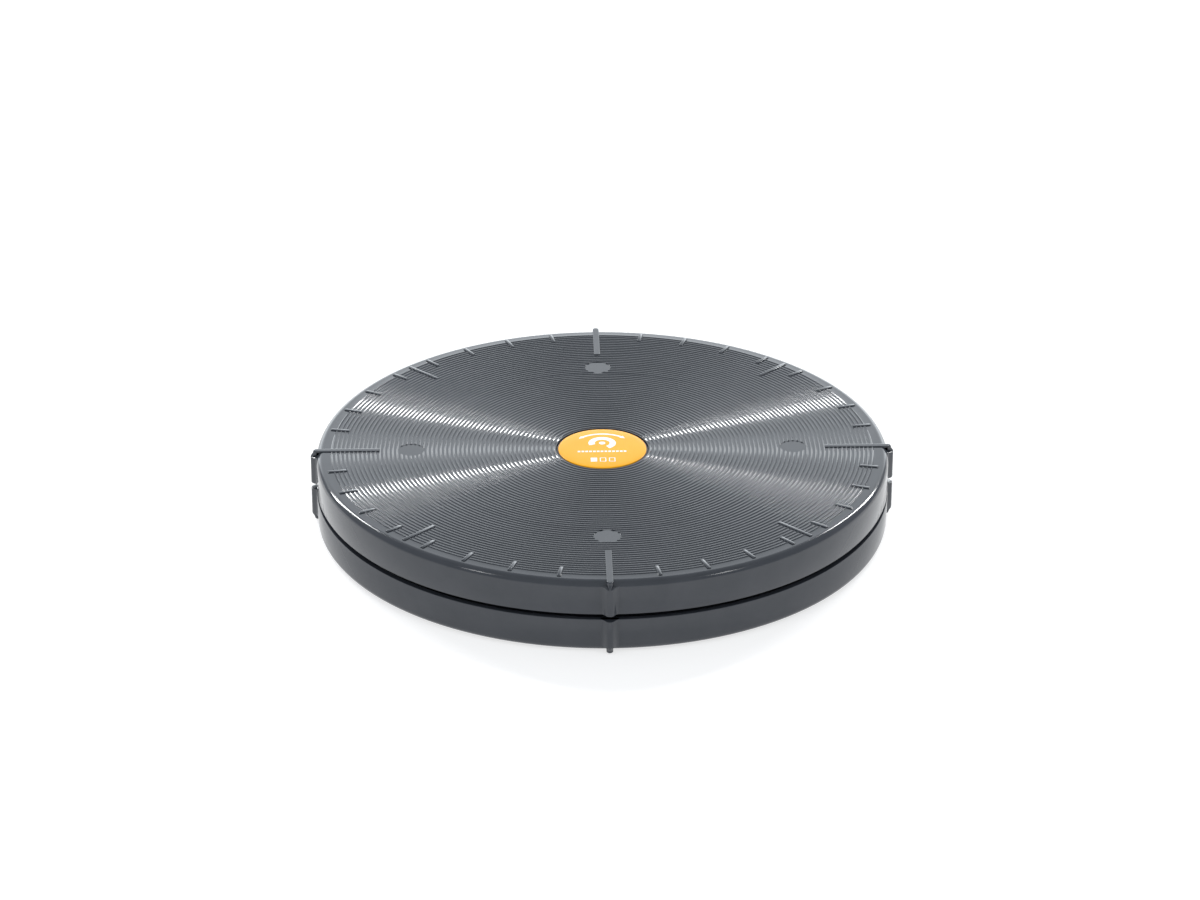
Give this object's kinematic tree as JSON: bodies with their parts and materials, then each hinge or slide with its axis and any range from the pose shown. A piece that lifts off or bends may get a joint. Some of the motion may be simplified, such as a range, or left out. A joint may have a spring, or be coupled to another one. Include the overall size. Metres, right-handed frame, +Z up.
{
  "type": "turntable disc",
  "caption": "Low round turntable: a ridged, index-marked platform disc turns freely on a matching base disc on a caged ball race.",
  "frame": {"origin": "on the floor under the pivot, the centre of the bounding box's bottom face", "axes": "+Z up along the pivot; +X and +Y through index bars, so -Y is the front index bar"},
  "size_m": [0.3048, 0.3048, 0.04],
  "materials": {
    "disc_plastic": "moulded, semi-gloss",
    "cap_plastic": "moulded, satin",
    "label_resin": "domed clear resin over print",
    "race_steel": "pressed, zinc plated",
    "fastener_steel": "zinc plated",
    "ball_steel": "polished",
    "cage_nylon": "natural nylon",
    "insert_nylon": "dyed nylon",
    "bush_brass": "turned",
    "foot_rubber": "moulded"
  },
  "bodies": {
    "base": {"base_disc": "disc_plastic", "base_hub_cap": "cap_plastic", "base_race": "race_steel", "base_race_screws": "fastener_steel", "pivot_bolt": "fastener_steel", "jam_nut": "fastener_steel", "steel_washer": "fastener_steel", "lock_nut": "fastener_steel", "lock_nut_insert": "insert_nylon", "foot_right": "foot_rubber", "foot_back": "foot_rubber", "foot_left": "foot_rubber", "foot_front": "foot_rubber"},
    "platform": {"platform_disc": "disc_plastic", "platform_hub_cap": "cap_plastic", "domed_label": "label_resin", "platform_race": "race_steel", "platform_race_screws": "fastener_steel", "hub_bush": "bush_brass", "slip_washer": "cage_nylon"},
    "cage": {"ball_cage": "cage_nylon", "bearing_balls": "ball_steel"}
  },
  "joints": [
    {"name": "platform_turn", "type": "hinge", "parent": "base", "child": "platform", "pos_m": [0, 0, 0.02025], "axis": [0, 0, 1], "continuous": true},
    {"name": "cage_roll", "type": "hinge", "parent": "base", "child": "cage", "pos_m": [0, 0, 0.02025], "axis": [0, 0, 1], "continuous": true}
  ],
  "couplings": [
    {"joint": "cage_roll", "follows": "platform_turn", "ratio": 0.5}
  ]
}
